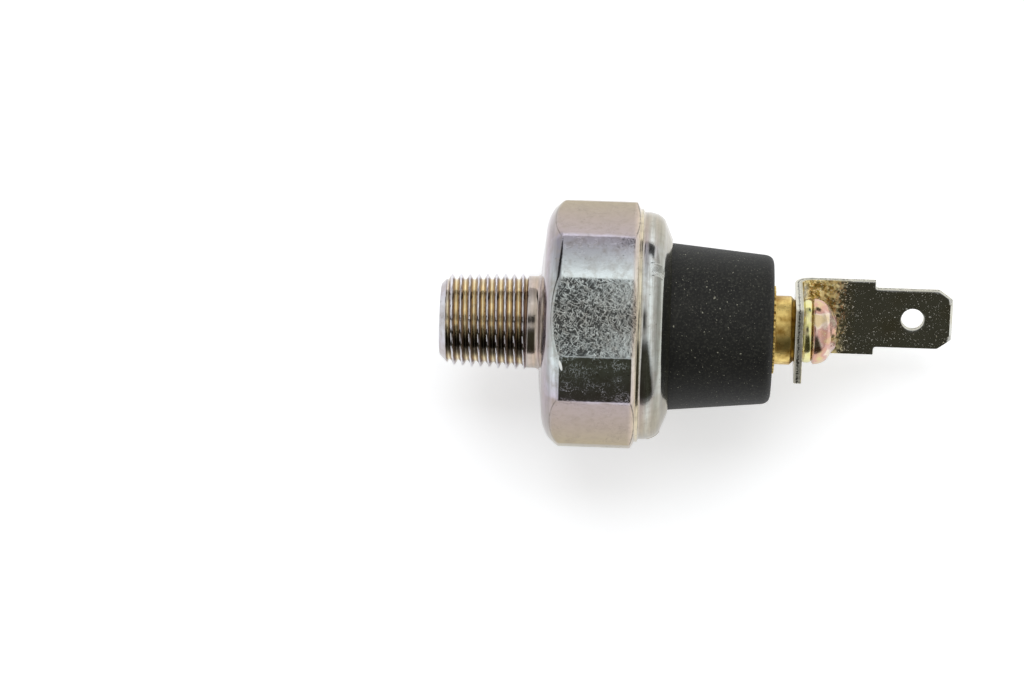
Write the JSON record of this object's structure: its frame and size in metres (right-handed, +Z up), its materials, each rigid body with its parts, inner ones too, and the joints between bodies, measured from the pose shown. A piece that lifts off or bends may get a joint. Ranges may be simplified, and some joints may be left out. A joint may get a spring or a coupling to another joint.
{
  "type": "oil pressure sender",
  "caption": "Oil pressure sender: taper-threaded steel hexagon body with a rolled lip, black moulded cap, brass insert and push-on blade held by a screw.",
  "frame": {"origin": "on the axis of the stem, at the gauge plane of the taper thread, 4 mm from the stem's nose", "axes": "+X along the axis from the thread to the blade; +Z up, square to two flats of the hexagon; the part lies on the lower flat"},
  "size_m": [0.0526, 0.0252, 0.024],
  "materials": {
    "hex_body": "zinc plated, clear and yellow passivated, tumbled and scratched",
    "diaphragm_seal": "moulded nitrile rubber",
    "diaphragm": "amber film",
    "contact_plate": "pressed and plated steel",
    "packing_ring": "vulcanised fibre",
    "pressure_plate": "stamped steel",
    "push_pin": "moulded insulating plastic",
    "moving_contact": "stamped brass",
    "contact_spring": "coiled spring wire",
    "spring_seat": "turned brass",
    "setting_screw": "turned brass",
    "locking_drop": "set lacquer",
    "terminal_insert": "turned brass, lightly tarnished",
    "insulator": "compression moulded black plastic, fine speckle",
    "cap_seal": "moulded nitrile rubber",
    "terminal_blade": "bright plated strip, finely scratched",
    "spring_washer": "zinc plated, yellow passivated",
    "terminal_screw": "zinc plated, yellow passivated, bright"
  },
  "bodies": {
    "sender": {"hex_body": "hex_body", "diaphragm_seal": "diaphragm_seal", "diaphragm": "diaphragm", "contact_plate": "contact_plate", "packing_ring": "packing_ring", "contact_spring": "contact_spring", "spring_seat": "spring_seat", "setting_screw": "setting_screw", "locking_drop": "locking_drop", "terminal_insert": "terminal_insert", "insulator": "insulator", "cap_seal": "cap_seal", "terminal_blade": "terminal_blade", "spring_washer": "spring_washer", "terminal_screw": "terminal_screw"},
    "contact_group": {"pressure_plate": "pressure_plate", "push_pin": "push_pin", "moving_contact": "moving_contact"}
  },
  "joints": [
    {"name": "contact_travel", "type": "slide", "parent": "sender", "child": "contact_group", "axis": [1, 0, 0], "range_m": [0, 0.0005], "stiffness_N_per_m": 2000, "deforming": ["contact_spring"]}
  ]
}
